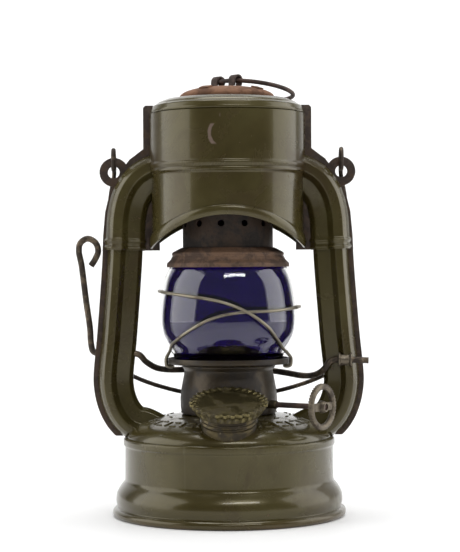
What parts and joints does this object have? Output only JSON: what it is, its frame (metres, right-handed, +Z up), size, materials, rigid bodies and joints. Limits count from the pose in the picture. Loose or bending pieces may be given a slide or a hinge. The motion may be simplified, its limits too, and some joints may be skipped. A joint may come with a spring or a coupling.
{
  "type": "kerosene storm lantern",
  "caption": "Small storm lantern: round tank with filler cap and flat-wick burner, wire-guarded blue glass globe, canopy on side tubes, wire lift crank and bail.",
  "frame": {"origin": "on the lantern's axis, in the plane that its foot ring and the middle of its floor stand on", "axes": "+Z up along the lantern's axis; -Y the front, where the filler cap is; +X right, seen from the front"},
  "size_m": [0.16, 0.1303, 0.241],
  "materials": {
    "olive_paint": "olive-drab enamel on sheet steel, semi-gloss, scuffed and a little rusty at edges",
    "worn_gunmetal": "worn dark plated metal with tarnish",
    "sooty_metal": "heat-darkened sheet steel with soot",
    "rusty_steel": "brown surface rust, matt",
    "dark_wire": "old drawn wire, brown with bare highlights",
    "bare_steel": "dull bare steel",
    "brass": "dull brass",
    "cork": "pressed cork",
    "cotton": "woven cotton wick",
    "blue_glass": "clear glass with a very dark cobalt-blue inner layer"
  },
  "bodies": {
    "frame": {"tank_shell": "olive_paint", "tank_floor": "olive_paint", "tank_dome": "olive_paint", "filler_neck": "worn_gunmetal", "burner_drum": "sooty_metal", "burner_base": "brass", "wick_tube": "brass", "shaft_sleeve": "worn_gunmetal", "burner_cone": "brass", "side_tube_left": "olive_paint", "side_tube_right": "olive_paint", "canopy_front": "olive_paint", "canopy_back": "olive_paint", "canopy_top": "olive_paint", "crank_bushing": "bare_steel", "hood_spring": "dark_wire"},
    "gasket": {"filler_gasket": "cork"},
    "cap": {"filler_cap": "worn_gunmetal"},
    "wick": {"wick": "cotton"},
    "wick_drive": {"wick_shaft": "dark_wire", "wick_wheel_inner": "brass", "wick_wheel_outer": "brass", "wick_knob": "bare_steel"},
    "carriage": {"globe_plate": "sooty_metal", "globe": "blue_glass", "guard_wire_right": "bare_steel", "guard_wire_left": "bare_steel"},
    "hood": {"globe_hood": "rusty_steel", "chimney_tube": "sooty_metal", "spring_seat": "sooty_metal", "chimney_lid": "rusty_steel", "staple_left": "dark_wire", "staple_right": "dark_wire"},
    "lift_ring": {"lift_ring": "dark_wire"},
    "crank": {"lift_crank": "dark_wire"},
    "bail": {"bail": "dark_wire"}
  },
  "joints": [
    {"name": "globe_lift", "type": "slide", "parent": "frame", "child": "carriage", "axis": [0, 0, 1], "range_m": [0, 0.013], "deforming": ["hood_spring"]},
    {"name": "lever_turn", "type": "hinge", "parent": "frame", "child": "crank", "pos_m": [0, -0.0036, 0.0867], "axis": [0.997, -0.0721, -0.0287], "range_deg": [0, 26.01]},
    {"name": "hood_pull", "type": "slide", "parent": "carriage", "child": "hood", "axis": [0, 0, 1], "range_m": [0, 0.01], "stiffness_N_per_m": 60, "springref_m": -0.05, "deforming": ["hood_spring"]},
    {"name": "lift_ring_swing", "type": "hinge", "parent": "hood", "child": "lift_ring", "pos_m": [0, 0, 0.2377], "axis": [0.6858, -0.7278, 0], "range_deg": [0, 195]},
    {"name": "knob_turn", "type": "hinge", "parent": "frame", "child": "wick_drive", "pos_m": [-0.00209, -0.00299, 0.0617], "axis": [0.8192, -0.5736, 0], "range_deg": [-170, 90]},
    {"name": "wick_feed", "type": "slide", "parent": "frame", "child": "wick", "axis": [0, 0, 1], "range_m": [-0.0076, 0.0041]},
    {"name": "cap_lift", "type": "slide", "parent": "frame", "child": "gasket", "axis": [0, -0.309, 0.9511], "range_m": [0, 0.0046]},
    {"name": "cap_turn", "type": "hinge", "parent": "gasket", "child": "cap", "pos_m": [0, -0.0407, 0.04796], "axis": [0, -0.309, 0.9511], "range_deg": [0, 540]},
    {"name": "bail_swing", "type": "hinge", "parent": "frame", "child": "bail", "pos_m": [0, 0, 0.19435], "axis": [1, 0, 0], "range_deg": [0, 290]}
  ],
  "couplings": [
    {"joint": "lever_turn", "follows": "globe_lift", "rad_per_m": 34.9},
    {"joint": "wick_feed", "follows": "knob_turn", "m_per_rad": 0.0025},
    {"joint": "cap_lift", "follows": "cap_turn", "m_per_rad": 0.000477}
  ]
}
